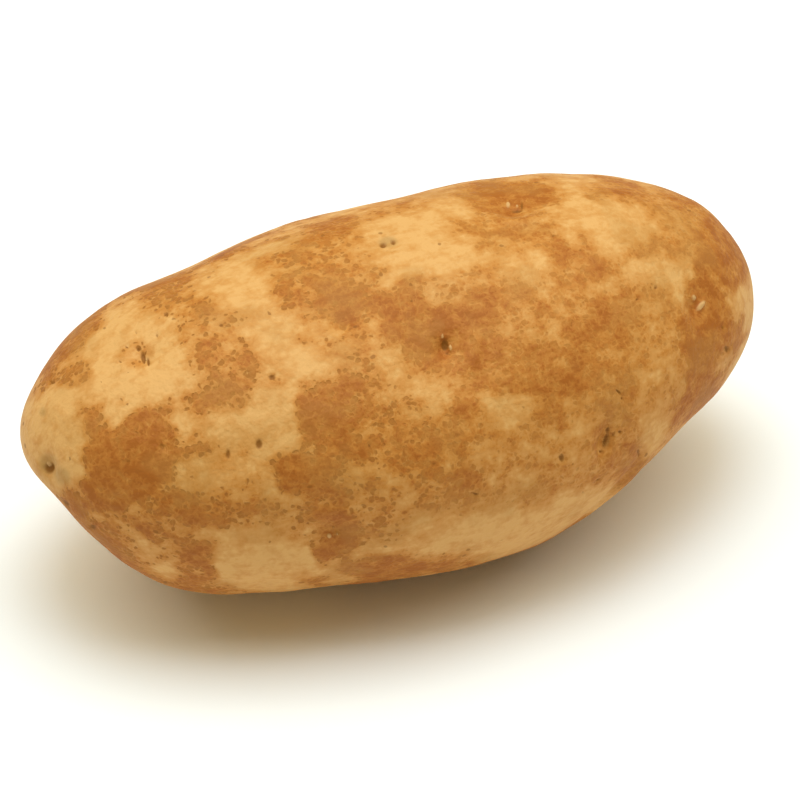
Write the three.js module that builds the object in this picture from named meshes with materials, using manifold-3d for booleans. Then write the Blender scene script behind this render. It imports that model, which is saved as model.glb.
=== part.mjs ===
// A raw baking potato, as dug and washed: one solid tuber, lying on a small flat spot.
//
// X runs from the stem end (-X) to the bud end (+X), Z is up, and lengths are in millimetres.
// The origin is on the ground, under the middle of the tuber's bounding box.
//
// A place on the tuber is given by two numbers. "along" goes from -1 at the stem end to 1 at the
// bud end, and "around" is the angle about X in degrees: 0 is the back, 90 the top, 180 the front
// and 270 the underside.

import * as THREE from "three";
import { mergeVertices } from "three/addons/utils/BufferGeometryUtils.js";
import Module from "manifold-3d";

// Driving dimensions of the tuber before its swells and hollows.
const LENGTH = 128.6;
const WIDTH = 67;
const HEIGHT = 59;

// How the round body departs from an ellipsoid.
const FULLNESS = 2.07; // 2 is an ellipsoid, and more makes the ends blunter
const TAPER = 0.02; // share by which the girth grows towards the bud end
const BEND_BACK = 2.4; // how far both ends sweep back
const BEND_UP = 2.9; // how far both ends rise

// The resting spot is pressed flat by this much.
const FLAT_DEPTH = 0.7;

// The skin is a grid over six sides of a rounded box, drawn in towards the eyes.
const CELLS_A_SIDE = 30;
const EYE_PULL = 0.5; // share by which the grid closes up at an eye
const EYE_PULL_REACH = 0.13; // how far that reaches, in radians
const MERGE = 1e-5; // distance under which two corners of the unit grid are one

// Broad swells and hollows: reach in degrees of direction, height in millimetres.
const SWELLS = {
  chin: { along: -0.72, around: 232, reach: 24, height: 1.9 },
  jaw: { along: -0.93, around: 250, reach: 16, height: -4.9 },
  stem_cap: { along: -0.94, around: 35, reach: 14, height: -0.3 },
  cheek: { along: -0.8, around: 150, reach: 22, height: 1.0 },
  temple: { along: -0.62, around: 42, reach: 13, height: 0.5 },
  saddle: { along: -0.45, around: 46, reach: 9, height: -1.3 },
  waist: { along: -0.2, around: 226, reach: 20, height: -1.3 },
  belly: { along: 0.22, around: 221, reach: 20, height: 1.3 },
  dint: { along: 0.52, around: 218, reach: 11, height: -1.7 },
  bud_hollow: { along: 0.7, around: 210, reach: 20, height: -2.2 },
  bud_brow: { along: 0.93, around: 105, reach: 24, height: 1.0 },
  bud_crown: { along: 0.75, around: 55, reach: 22, height: 1.2 },
  top_plain: { along: -0.22, around: 108, reach: 16, height: -0.6 },
  front_swell: { along: -0.3, around: 160, reach: 18, height: 0.6 },
  back_swell: { along: 0.3, around: 345, reach: 22, height: 1.2 },
  back_hollow: { along: -0.15, around: 350, reach: 18, height: -1.4 },
  back_knob: { along: -0.6, around: 340, reach: 18, height: 1.0 },
  under_hollow: { along: 0.62, around: 285, reach: 18, height: -1.2 },
};

// Eyes: a saucer with a brow, the raised edge of the leaf scar, on the side that "facing" names,
// in degrees from the bud end towards growing "around". A pit in the middle holds the bud.
const EYES = {
  stem_scar: { along: -0.968, around: 145, saucer: 4.5, depth: 0.7, brow: 0.1, facing: 200, sink: 1.1 },
  near_top: { along: -0.682, around: 97, saucer: 6.0, depth: 0.9, brow: 0.35, facing: 190, sink: 0.6 },
  mid_top: { along: -0.009, around: 86, saucer: 5.0, depth: 0.5, brow: 0.25, facing: 80, sink: 0.5 },
  crown: { along: 0.355, around: 81, saucer: 7.0, depth: 1.2, brow: 0.8, facing: 100, sink: 0.5 },
  middle: { along: 0.007, around: 126, saucer: 7.5, depth: 1.5, brow: 0.5, facing: 20, sink: 1.0 },
  bud_front: { along: 0.718, around: 138, saucer: 6.5, depth: 1.2, brow: 0.45, facing: 170, sink: 0.5 },
  low_front: { along: -0.364, around: 178, saucer: 6.5, depth: 0.9, brow: 0.4, facing: 270, sink: 0.4 },
  scar_front: { along: 0.371, around: 171, saucer: 4.5, depth: 0.6, brow: 0.3, facing: 150, sink: 0.5 },
  smudge: { along: -0.213, around: 110, saucer: 5.0, depth: 0.6, brow: 0.25, facing: 180, sink: 0.3 },
  bud_tip: { along: 0.985, around: 40, saucer: 7.0, depth: 1.4, brow: 0.6, facing: 180, sink: 0.8 },
  bud_back: { along: 0.8, around: 15, saucer: 6.0, depth: 1.2, brow: 0.6, facing: 180, sink: 0.7 },
  bud_under: { along: 0.82, around: 265, saucer: 6.0, depth: 1.1, brow: 0.5, facing: 180, sink: 0.7 },
  back_bud_side: { along: 0.42, around: 345, saucer: 6.5, depth: 1.2, brow: 0.6, facing: 175, sink: 0.8 },
  back_high: { along: 0.1, around: 35, saucer: 6.0, depth: 1.0, brow: 0.5, facing: 185, sink: 0.7 },
  back_low: { along: -0.2, around: 318, saucer: 6.5, depth: 1.1, brow: 0.5, facing: 180, sink: 0.7 },
  back_stem_side: { along: -0.62, around: 8, saucer: 5.5, depth: 0.8, brow: 0.4, facing: 185, sink: 0.5 },
  under_front: { along: 0.38, around: 238, saucer: 5.5, depth: 0.9, brow: 0.4, facing: 180, sink: 0.5 },
  under_stem: { along: -0.55, around: 275, saucer: 5.5, depth: 0.8, brow: 0.4, facing: 180, sink: 0.5 },
};
const BROW_RADIUS = 0.62; // the brow's distance from the eye's middle, as a share of the saucer
const BROW_WIDTH = 0.22; // the brow's half width, as a share of the saucer
const PIT_RADIUS = 1.7;
const EYE_REACH = 3; // saucers away, past which an eye adds nothing

// Creases: healed growth cracks, each a shallow groove with a lip along one side.
const CREASES = {
  fold: { along: 0.41, around: 203, heading: -54, half: 9, width: 1.3, depth: 0.6, lip: 0.5 },
  slit: { along: 0.371, around: 171, heading: -68, half: 3.4, width: 1.0, depth: 0.7, lip: 0.2 },
  back_line: { along: -0.38, around: 352, heading: 12, half: 9, width: 1.3, depth: 0.5, lip: 0.3 },
};
const LIP_OFFSET = 2; // the lip's distance from the groove, in groove widths

// Unevenness of the skin: gentle waves, each with the way it runs, its length and its height.
const WAVES = [
  { run: [0.8, 0.5, 0.33], length: 29, height: 0.12 },
  { run: [0.3, -0.8, 0.52], length: 23, height: 0.1 },
  { run: [-0.5, 0.2, 0.84], length: 19, height: 0.09 },
  { run: [0.6, 0.7, -0.39], length: 15, height: 0.06 },
  { run: [0.9, -0.35, 0.26], length: 12.5, height: 0.05 },
  { run: [0.15, 0.75, 0.64], length: 10.5, height: 0.04 },
  { run: [-0.75, 0.45, 0.48], length: 9, height: 0.035 },
];

const TOWARDS_BUD = new THREE.Vector3(1, 0, 0);

// A bell curve that is 1 in the middle and falls away over the given reach.
function bell(distance, reach) {
  return Math.exp(-((distance / reach) ** 2));
}

// The unit direction that belongs to a place on the tuber.
function direction({ along, around }) {
  const angle = THREE.MathUtils.degToRad(around);
  const radius = Math.sqrt(1 - along * along);
  return new THREE.Vector3(along, radius * Math.cos(angle), radius * Math.sin(angle));
}

// The way the skin faces there, near enough for raising and sinking it.
function outward(dir) {
  return new THREE.Vector3(dir.x / LENGTH, dir.y / WIDTH, dir.z / HEIGHT).normalize();
}

// The bent, tapered round body with its swells and hollows.
function bodyPoint(dir) {
  const across = Math.hypot(dir.y, dir.z);
  const grow = (Math.abs(dir.x) ** FULLNESS + across ** FULLNESS) ** (-1 / FULLNESS);
  const s = dir.clone().multiplyScalar(grow);
  const girth = 1 + TAPER * s.x;
  const point = new THREE.Vector3(
    (LENGTH / 2) * s.x,
    (WIDTH / 2) * s.y * girth + BEND_BACK * s.x * s.x,
    (HEIGHT / 2) * s.z * girth + BEND_UP * s.x * s.x,
  );
  let height = 0;
  for (const swell of Object.values(SWELLS)) {
    const off = THREE.MathUtils.radToDeg(dir.angleTo(swell.dir));
    height += swell.height * bell(off, swell.reach);
  }
  return point.addScaledVector(outward(dir), height);
}

// The height that an eye adds at a point: a bell-shaped saucer and pit, and a curved brow.
function eyeHeight(eye, offset) {
  const distance = offset.length();
  if (distance > EYE_REACH * eye.saucer) return 0;
  const bearing = Math.atan2(offset.dot(eye.round), offset.dot(eye.toBud));
  const side = Math.max(0, Math.cos(bearing - THREE.MathUtils.degToRad(eye.facing)));
  const brow = side ** 1.5 * bell(distance - BROW_RADIUS * eye.saucer, BROW_WIDTH * eye.saucer);
  return eye.brow * brow - eye.depth * bell(distance, eye.saucer) - eye.sink * bell(distance, PIT_RADIUS);
}

// The height that a crease adds: a groove that fades at its ends, with a lip beside it.
function creaseHeight(crease, offset) {
  const heading = THREE.MathUtils.degToRad(crease.heading);
  const u = offset.dot(crease.toBud);
  const v = offset.dot(crease.round);
  const lengthwise = u * Math.cos(heading) + v * Math.sin(heading);
  const sideways = (v * Math.cos(heading) - u * Math.sin(heading)) / crease.width;
  const fade = Math.exp(-((lengthwise / crease.half) ** 4)) * bell(offset.dot(crease.normal), crease.half);
  return fade * (crease.lip * bell(sideways - LIP_OFFSET, 1) - crease.depth * bell(sideways, 1));
}

// The height of the unevenness at a point: the sum of the waves there.
function waveHeight(point) {
  let height = 0;
  for (const wave of WAVES) {
    const travel = point.x * wave.run[0] + point.y * wave.run[1] + point.z * wave.run[2];
    height += wave.height * Math.sin((2 * Math.PI * travel) / wave.length);
  }
  return height;
}

// The finished skin point for a direction.
function skinPoint(dir) {
  const base = bodyPoint(dir);
  const offset = new THREE.Vector3();
  let height = waveHeight(base);
  for (const eye of Object.values(EYES)) {
    height += eyeHeight(eye, offset.subVectors(base, eye.centre));
  }
  for (const crease of Object.values(CREASES)) {
    height += creaseHeight(crease, offset.subVectors(base, crease.centre));
  }
  return base.addScaledVector(outward(dir), height);
}

// Gives each swell its direction, and each eye and crease its own frame on the skin: its middle,
// the way out, the way towards the bud end and the way round.
function placeMarks() {
  for (const swell of Object.values(SWELLS)) swell.dir = direction(swell);
  for (const mark of [...Object.values(EYES), ...Object.values(CREASES)]) {
    mark.dir = direction(mark);
    mark.centre = bodyPoint(mark.dir);
    mark.normal = outward(mark.dir);
    mark.toBud = TOWARDS_BUD.clone().projectOnPlane(mark.normal).normalize();
    mark.round = new THREE.Vector3().crossVectors(mark.toBud, mark.normal);
  }
}

// Even directions over the sphere, closer together at the eyes.
function skinDirections() {
  const box = new THREE.BoxGeometry(2, 2, 2, CELLS_A_SIDE, CELLS_A_SIDE, CELLS_A_SIDE);
  const position = box.getAttribute("position");
  const dir = new THREE.Vector3();
  const pull = new THREE.Vector3();
  for (let i = 0; i < position.count; i++) {
    dir.fromBufferAttribute(position, i);
    for (const axis of ["x", "y", "z"]) dir[axis] = Math.tan((dir[axis] * Math.PI) / 4);
    dir.normalize();
    const drawn = dir.clone();
    for (const eye of Object.values(EYES)) {
      pull.subVectors(eye.dir, dir);
      drawn.addScaledVector(pull, EYE_PULL * bell(pull.length(), Math.SQRT2 * EYE_PULL_REACH));
    }
    drawn.normalize();
    position.setXYZ(i, drawn.x, drawn.y, drawn.z);
  }
  box.deleteAttribute("normal");
  box.deleteAttribute("uv");
  return mergeVertices(box, MERGE);
}

// Presses the resting spot flat: what lies below the ground is cut away.
async function pressFlat(geometry, ground) {
  const wasm = await Module();
  wasm.setup();
  const solid = (shape) => {
    const vertProperties = new Float32Array(shape.getAttribute("position").array);
    const triVerts = new Uint32Array(shape.index.array);
    return new wasm.Manifold(new wasm.Mesh({ numProp: 3, vertProperties, triVerts }));
  };
  const below = new THREE.BoxGeometry(2 * LENGTH, 2 * WIDTH, HEIGHT);
  below.translate(0, 0, ground - HEIGHT / 2);
  below.deleteAttribute("normal");
  below.deleteAttribute("uv");
  const pressed = solid(geometry).subtract(solid(mergeVertices(below))).getMesh();
  return new THREE.BufferGeometry()
    .setAttribute("position", new THREE.BufferAttribute(pressed.vertProperties, 3))
    .setIndex(new THREE.BufferAttribute(pressed.triVerts, 1));
}

async function makeTuber() {
  placeMarks();
  const skin = skinDirections();
  const position = skin.getAttribute("position");
  const dir = new THREE.Vector3();
  for (let i = 0; i < position.count; i++) {
    const point = skinPoint(dir.fromBufferAttribute(position, i));
    position.setXYZ(i, point.x, point.y, point.z);
  }
  skin.computeBoundingBox();

  const geometry = await pressFlat(skin, skin.boundingBox.min.z + FLAT_DEPTH);
  geometry.computeBoundingBox();
  const { min, max } = geometry.boundingBox;
  geometry.translate(-(min.x + max.x) / 2, -(min.y + max.y) / 2, -min.z);
  geometry.computeVertexNormals();

  const skinFinish = new THREE.MeshStandardMaterial({ color: 0xcd9450, roughness: 0.72, metalness: 0 });
  const tuber = new THREE.Mesh(geometry, skinFinish);
  tuber.name = "tuber";
  return tuber;
}

const potato = new THREE.Group();
potato.add(await makeTuber());

export default potato;
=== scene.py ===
"""A raw baking potato, lying on a white floor in soft light from above and behind.

The tuber is one closed surface worked out from a formula: a bent round body, swells and hollows,
eyes, creases and gentle unevenness, and on it the fine relief of its skin. Lengths in the
formula are millimetres in the body's own frame, with X from the stem end to the bud end and Z up.
"""

import logging
import math
from dataclasses import dataclass, field
from enum import Enum

import bpy
import numpy as np
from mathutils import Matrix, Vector


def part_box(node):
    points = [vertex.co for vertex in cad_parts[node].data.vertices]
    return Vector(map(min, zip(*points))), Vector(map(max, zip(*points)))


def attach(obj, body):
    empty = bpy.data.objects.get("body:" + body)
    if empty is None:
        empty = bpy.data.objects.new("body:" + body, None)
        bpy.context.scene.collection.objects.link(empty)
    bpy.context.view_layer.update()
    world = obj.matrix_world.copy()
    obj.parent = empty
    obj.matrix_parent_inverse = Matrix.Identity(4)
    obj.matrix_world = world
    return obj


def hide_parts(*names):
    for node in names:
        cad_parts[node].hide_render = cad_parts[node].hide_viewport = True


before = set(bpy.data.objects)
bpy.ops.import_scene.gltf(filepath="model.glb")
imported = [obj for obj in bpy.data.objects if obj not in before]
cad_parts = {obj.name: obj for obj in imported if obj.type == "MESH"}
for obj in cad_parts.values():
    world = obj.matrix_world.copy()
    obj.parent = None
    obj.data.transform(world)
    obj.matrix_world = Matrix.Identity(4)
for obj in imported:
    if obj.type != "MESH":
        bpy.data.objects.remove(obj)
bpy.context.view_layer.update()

Colour = tuple[float, float, float]
Pixels = tuple[np.ndarray, np.ndarray]
Socket = bpy.types.NodeSocket
Span = tuple[float, float]

LOG = logging.getLogger("potato")
MM = 0.001
# The large odd numbers that stir a lattice cell's three whole numbers and its seed
STIR = tuple(np.uint64(number) for number in (374761393, 668265263, 2246822519, 3266489917))
LOW_32_BITS = np.uint64(0xFFFFFFFF)
# How far each further layer of noise is shifted, in cells
LAYER_SHIFT = 17.3
# A small mark fades in between these two depths inside its rim
MARK_RIM: Span = (-0.15, 0.35)
# The softest that a patch's rim may be, in parts of the patch's half size
SOFTEST_RIM = 0.85
# What the material's noise and a cell's random number come to on the whole
MIDDLE = 0.5


# Small helpers


def bell(distance: np.ndarray, reach: float) -> np.ndarray:
    """A bell curve that is 1 in the middle and falls away over the reach."""
    return np.exp(-((distance / reach) ** 2))


def ease(value: np.ndarray, low: float, high: float) -> np.ndarray:
    """A smooth step from 0 at low to 1 at high."""
    t = np.clip((value - low) / (high - low), 0.0, 1.0)
    return t * t * (3.0 - 2.0 * t)


def s_curve(part: np.ndarray) -> np.ndarray:
    """A rise from 0 to 1 that starts and ends with no slope and no bend."""
    return part**3 * (part * (part * 6.0 - 15.0) + 10.0)


def unit(vectors: np.ndarray) -> np.ndarray:
    """The vectors, each brought to length 1."""
    return vectors / np.linalg.norm(vectors, axis=-1, keepdims=True)


def lattice_value(cell: np.ndarray, seed: int) -> np.ndarray:
    """A fixed random value for each lattice cell.

    Formula: the three whole numbers of the cell and the seed are each multiplied by a large odd
    number, added, and stirred by three shifts and two further products in 32 bits.

    Args:
        cell: whole numbers, one row of three for each point.
        seed: a whole number that picks one pattern out of many.

    Returns:
        Values from -1 to 1.
    """
    mixed = np.uint64(seed) * STIR[3]
    for axis in range(3):
        mixed = mixed + cell[..., axis].astype(np.int64).astype(np.uint64) * STIR[axis]
    mixed = mixed & LOW_32_BITS
    for shift, factor in ((15, STIR[2]), (13, STIR[3])):
        mixed = ((mixed ^ (mixed >> np.uint64(shift))) * factor) & LOW_32_BITS
    mixed ^= mixed >> np.uint64(16)
    return mixed.astype(np.float64) / float(0x7FFFFFFF) - 1.0


def noise(points: np.ndarray, size: float, seed: int, layers: int = 1) -> np.ndarray:
    """Smooth noise from fixed random values on a cubic lattice.

    Formula: the values at a cell's eight corners are blended with an S-shaped weight along each
    axis. Each further layer is twice as fine and half as strong.

    Args:
        points: places, in millimetres.
        size: the lattice's cell, in millimetres.
        seed: a whole number that picks one pattern out of many.
        layers: how many layers are added up.

    Returns:
        Values from about -1 to 1.
    """
    total = np.zeros(len(points))
    strength = 1.0
    for layer in range(layers):
        scaled = points / (size / 2**layer) + LAYER_SHIFT * layer
        base = np.floor(scaled)
        part = s_curve(scaled - base)
        for corner in np.ndindex(2, 2, 2):
            step = np.array(corner)
            weight = np.prod(np.where(step == 1, part, 1.0 - part), axis=1)
            total += strength * weight * lattice_value(base + step, seed + layer)
        strength /= 2.0
    return total


# The tuber's form, from the same named values as the solid that it replaces


@dataclass(frozen=True)
class Place:
    """A place on the tuber.

    along goes from -1 at the stem end to 1 at the bud end. around is the angle about X in
    degrees: 0 is the back, 90 the top, 180 the front and 270 the underside.
    """

    along: float
    around: float

    def direction(self) -> np.ndarray:
        """The unit direction that belongs to the place.

        Formula: the place along is the direction's X, and the rest of its length is turned about X.

        Returns:
            X, Y and Z.
        """
        angle = math.radians(self.around)
        radius = math.sqrt(1.0 - self.along**2)
        return np.array([self.along, radius * math.cos(angle), radius * math.sin(angle)])


@dataclass(frozen=True)
class Swell(Place):
    """A broad swell or hollow: its reach in degrees of direction, and its height in millimetres."""

    reach: float
    height: float


class Bud(Enum):
    """What sits in an eye."""

    OPEN = "a pale bud in a dark pit"
    SHUT = "a pit with no bud to be seen"
    SCAR = "the scar that the stem left"


@dataclass(frozen=True)
class Eye(Place):
    """An eye: a saucer with a curved brow on one side and a pit in the middle.

    saucer is the saucer's reach and depth its depth, brow is the brow's height and sink the
    pit's depth, all in millimetres. facing is the side of the brow, in degrees from the bud end
    towards growing around.
    """

    saucer: float
    depth: float
    brow: float
    facing: float
    sink: float
    bud: Bud = Bud.OPEN


@dataclass(frozen=True)
class Crease(Place):
    """A healed growth crack: a shallow groove with a lip along one side.

    heading is the way it runs, in degrees as an eye's facing. half is half its length, width is
    how far the groove reaches to each side, and lip is the lip's height. All three and the depth
    are in millimetres.
    """

    heading: float
    half: float
    width: float
    depth: float
    lip: float


@dataclass(frozen=True)
class Wave:
    """One gentle wave of the skin: the way it runs, and its length and height in millimetres."""

    run: tuple[float, float, float]
    length: float
    height: float


SWELLS = {
    "chin": Swell(-0.72, 232, 24, 1.9),
    "jaw": Swell(-0.93, 250, 16, -4.9),
    "stem_cap": Swell(-0.94, 35, 14, -0.3),
    "cheek": Swell(-0.8, 150, 22, 1.0),
    "temple": Swell(-0.62, 42, 13, 0.5),
    "saddle": Swell(-0.45, 46, 9, -1.3),
    "waist": Swell(-0.2, 226, 20, -1.3),
    "belly": Swell(0.22, 221, 20, 1.3),
    "dint": Swell(0.52, 218, 11, -1.7),
    "bud_hollow": Swell(0.7, 210, 20, -2.2),
    "bud_brow": Swell(0.93, 105, 24, 1.0),
    "bud_crown": Swell(0.75, 55, 22, 1.2),
    "top_plain": Swell(-0.22, 108, 16, -0.6),
    "front_swell": Swell(-0.3, 160, 18, 0.6),
    "back_swell": Swell(0.3, 345, 22, 1.2),
    "back_hollow": Swell(-0.15, 350, 18, -1.4),
    "back_knob": Swell(-0.6, 340, 18, 1.0),
    "under_hollow": Swell(0.62, 285, 18, -1.2),
}

EYES = {
    "stem_scar": Eye(-0.968, 145, 4.5, 0.7, 0.1, 200, 1.1, Bud.SCAR),
    "near_top": Eye(-0.682, 97, 6.0, 0.9, 0.35, 190, 0.6, Bud.SHUT),
    "mid_top": Eye(-0.009, 86, 5.0, 0.5, 0.25, 80, 0.5, Bud.SHUT),
    "crown": Eye(0.355, 81, 7.0, 1.2, 0.8, 100, 0.5),
    "middle": Eye(0.007, 126, 7.5, 1.5, 0.5, 20, 1.0),
    "bud_front": Eye(0.718, 138, 6.5, 1.2, 0.45, 170, 0.5),
    "low_front": Eye(-0.364, 178, 6.5, 0.9, 0.4, 270, 0.4),
    "scar_front": Eye(0.371, 171, 4.5, 0.6, 0.3, 150, 0.5, Bud.SHUT),
    "smudge": Eye(-0.213, 110, 5.0, 0.6, 0.25, 180, 0.3, Bud.SHUT),
    "bud_tip": Eye(0.985, 40, 7.0, 1.4, 0.6, 180, 0.8),
    "bud_back": Eye(0.8, 15, 6.0, 1.2, 0.6, 180, 0.7),
    "bud_under": Eye(0.82, 265, 6.0, 1.1, 0.5, 180, 0.7),
    "back_bud_side": Eye(0.42, 345, 6.5, 1.2, 0.6, 175, 0.8),
    "back_high": Eye(0.1, 35, 6.0, 1.0, 0.5, 185, 0.7, Bud.SHUT),
    "back_low": Eye(-0.2, 318, 6.5, 1.1, 0.5, 180, 0.7),
    "back_stem_side": Eye(-0.62, 8, 5.5, 0.8, 0.4, 185, 0.5, Bud.SHUT),
    "under_front": Eye(0.38, 238, 5.5, 0.9, 0.4, 180, 0.5, Bud.SHUT),
    "under_stem": Eye(-0.55, 275, 5.5, 0.8, 0.4, 180, 0.5),
}

CREASES = {
    "fold": Crease(0.41, 203, -54, 9, 1.3, 0.6, 0.5),
    "slit": Crease(0.371, 171, -68, 3.4, 1.0, 0.7, 0.2),
    "back_line": Crease(-0.38, 352, 12, 9, 1.3, 0.5, 0.3),
}

WAVES = (
    Wave((0.8, 0.5, 0.33), 29, 0.12),
    Wave((0.3, -0.8, 0.52), 23, 0.1),
    Wave((-0.5, 0.2, 0.84), 19, 0.09),
    Wave((0.6, 0.7, -0.39), 15, 0.06),
    Wave((0.9, -0.35, 0.26), 12.5, 0.05),
    Wave((0.15, 0.75, 0.64), 10.5, 0.04),
    Wave((-0.75, 0.45, 0.48), 9, 0.035),
)


@dataclass(frozen=True)
class TuberForm:
    """The tuber's shape before its skin's fine relief.

    Sizes are in millimetres. fullness is the power of the body's formula and taper how much the
    girth grows. A brow's radius and width are in parts of its eye's saucer, brow_fade is the
    power that fades it towards its ends, and lip_offset is in widths of the crease.
    """

    length: float = 128.6
    width: float = 67.0
    height: float = 59.0
    fullness: float = 2.07
    taper: float = 0.02
    bend_back: float = 2.4
    bend_up: float = 2.9
    flat_depth: float = 0.7
    brow_radius: float = 0.62
    brow_width: float = 0.22
    brow_fade: float = 1.5
    pit_radius: float = 1.7
    lip_offset: float = 2.0

    def outward(self, dirs: np.ndarray) -> np.ndarray:
        """The way the skin faces at each direction, near enough for raising and sinking it."""
        return unit(dirs / np.array([self.length, self.width, self.height]))

    def body(self, dirs: np.ndarray) -> np.ndarray:
        """The bent, tapered round body with its swells and hollows.

        Formula: each direction is stretched until the powers of its lengthwise and crosswise
        parts add up to 1, and scaled to the tuber's half sizes. The girth grows with the place
        along, and the axis bends with its square. Each swell adds a bell of the angle from it.

        Args:
            dirs: unit directions, one row each.

        Returns:
            The points, in millimetres.
        """
        across = np.hypot(dirs[:, 1], dirs[:, 2])
        power = self.fullness
        grow = (np.abs(dirs[:, 0]) ** power + across**power) ** (-1.0 / power)
        s = dirs * grow[:, None]
        girth = 1.0 + self.taper * s[:, 0]
        points = np.stack(
            [
                self.length / 2 * s[:, 0],
                self.width / 2 * s[:, 1] * girth + self.bend_back * s[:, 0] ** 2,
                self.height / 2 * s[:, 2] * girth + self.bend_up * s[:, 0] ** 2,
            ],
            axis=1,
        )
        rise = np.zeros(len(dirs))
        for swell in SWELLS.values():
            off = np.degrees(np.arccos(np.clip(dirs @ swell.direction(), -1.0, 1.0)))
            rise += swell.height * bell(off, swell.reach)
        return points + self.outward(dirs) * rise[:, None]

    def local(self, place: Place, points: np.ndarray) -> tuple[np.ndarray, np.ndarray, np.ndarray]:
        """The points in a place's own frame on the skin.

        Args:
            place: the middle of the frame.
            points: points of the body.

        Returns:
            How far each lies towards the bud end, round the tuber, and outwards.
        """
        way = place.direction()[None, :]
        offset = points - self.body(way)
        normal = self.outward(way)[0]
        to_bud = unit(np.array([1.0, 0.0, 0.0]) - normal * normal[0])
        around = np.cross(to_bud, normal)
        return offset @ to_bud, offset @ around, offset @ normal

    def eye_rise(self, eye: Eye, points: np.ndarray) -> np.ndarray:
        """An eye's height: a bell-shaped saucer and pit, and a curved brow.

        Formula: bells of the distance from the middle for the saucer and the pit, and a bell round
        a ring for the brow, times a power of the cosine of the angle from its facing.

        Args:
            eye: the eye.
            points: points of the body.

        Returns:
            The height at each point, in millimetres.
        """
        u, v, w = self.local(eye, points)
        distance = np.sqrt(u * u + v * v + w * w)
        side = np.maximum(0.0, np.cos(np.arctan2(v, u) - math.radians(eye.facing)))
        crest = bell(distance - self.brow_radius * eye.saucer, self.brow_width * eye.saucer)
        saucer = eye.depth * bell(distance, eye.saucer)
        brow = eye.brow * side**self.brow_fade * crest
        return brow - saucer - eye.sink * bell(distance, self.pit_radius)

    def crease_rise(self, crease: Crease, points: np.ndarray) -> np.ndarray:
        """A crease's height: a groove that fades at its ends, with a lip beside it.

        Formula: a bell across the groove for its depth and another beside it for the lip, times a
        flat-topped bell along it and a bell of how far outwards the point lies.

        Args:
            crease: the crease.
            points: points of the body.

        Returns:
            The height at each point, in millimetres.
        """
        u, v, w = self.local(crease, points)
        heading = math.radians(crease.heading)
        lengthwise = u * math.cos(heading) + v * math.sin(heading)
        sideways = (v * math.cos(heading) - u * math.sin(heading)) / crease.width
        fade = np.exp(-((lengthwise / crease.half) ** 4)) * bell(w, crease.half)
        lip = crease.lip * bell(sideways - self.lip_offset, 1.0)
        return fade * (lip - crease.depth * bell(sideways, 1.0))

    def wave_rise(self, points: np.ndarray) -> np.ndarray:
        """The unevenness: the sum of the waves at each point.

        Formula: each wave is its height times the sine of a full turn times the way gone along its
        run, over its length.

        Args:
            points: points of the body.

        Returns:
            The height at each point, in millimetres.
        """
        rise = np.zeros(len(points))
        for wave in WAVES:
            rise += wave.height * np.sin(2.0 * math.pi * (points @ np.array(wave.run)) / wave.length)
        return rise

    def rise(self, points: np.ndarray) -> np.ndarray:
        """The height that waves, eyes and creases add to the body.

        Args:
            points: points of the body.

        Returns:
            The height at each point, in millimetres.
        """
        rise = self.wave_rise(points)
        for eye in EYES.values():
            rise += self.eye_rise(eye, points)
        for crease in CREASES.values():
            rise += self.crease_rise(crease, points)
        return rise


@dataclass(frozen=True)
class SkinGrid:
    """A grid over six sides of a box, blown up to the unit sphere and drawn in at the eyes.

    pull is how far a direction moves towards an eye beside it, as a share of the way, and
    pull_reach is how far round the eye that goes, on the unit sphere.
    """

    cells_along: int = 210
    cells_across: int = 95
    pull: float = 0.5
    pull_reach: float = 0.13

    def build(self) -> tuple[np.ndarray, np.ndarray]:
        """The grid's directions and four-sided faces.

        Formula: a lattice point on the box goes to the tangent of an eighth of a turn times each
        coordinate, which spaces the directions evenly, and then to length 1. Points that two
        sides share are made one by their lattice numbers.

        Returns:
            Unit directions, and the corner numbers of each face, facing out.
        """
        counts = np.array([self.cells_along, self.cells_across, self.cells_across])
        keys: list[np.ndarray] = []
        for axis in range(3):
            first, second = (axis + 1) % 3, (axis + 2) % 3
            i, j = np.meshgrid(np.arange(counts[first] + 1), np.arange(counts[second] + 1), indexing="ij")
            for end in (0, counts[axis]):
                lattice = np.zeros(i.shape + (3,), dtype=np.int64)
                lattice[..., axis] = end
                lattice[..., first] = i
                lattice[..., second] = j
                corners = [lattice[:-1, :-1], lattice[1:, :-1], lattice[1:, 1:], lattice[:-1, 1:]]
                if end == 0:
                    corners.reverse()
                keys.append(np.stack(corners, axis=2).reshape(-1, 4, 3))
        corners = np.concatenate(keys)
        lattice, inverse = np.unique(corners.reshape(-1, 3), axis=0, return_inverse=True)
        flat = 2.0 * lattice / counts - 1.0
        dirs = unit(np.tan(flat * math.pi / 4.0))
        return self.draw_in(dirs), inverse.reshape(-1, 4)

    def draw_in(self, dirs: np.ndarray) -> np.ndarray:
        """The directions, drawn closer together round each eye.

        Formula: each direction moves towards each eye by a bell of its distance from it.

        Args:
            dirs: unit directions, one row each.

        Returns:
            The moved directions, brought back to length 1.
        """
        drawn = dirs.copy()
        for eye in EYES.values():
            offset = eye.direction() - dirs
            share = self.pull * bell(np.linalg.norm(offset, axis=1), math.sqrt(2.0) * self.pull_reach)
            drawn += offset * share[:, None]
        return unit(drawn)


# Where things are in the photograph's frame


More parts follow.
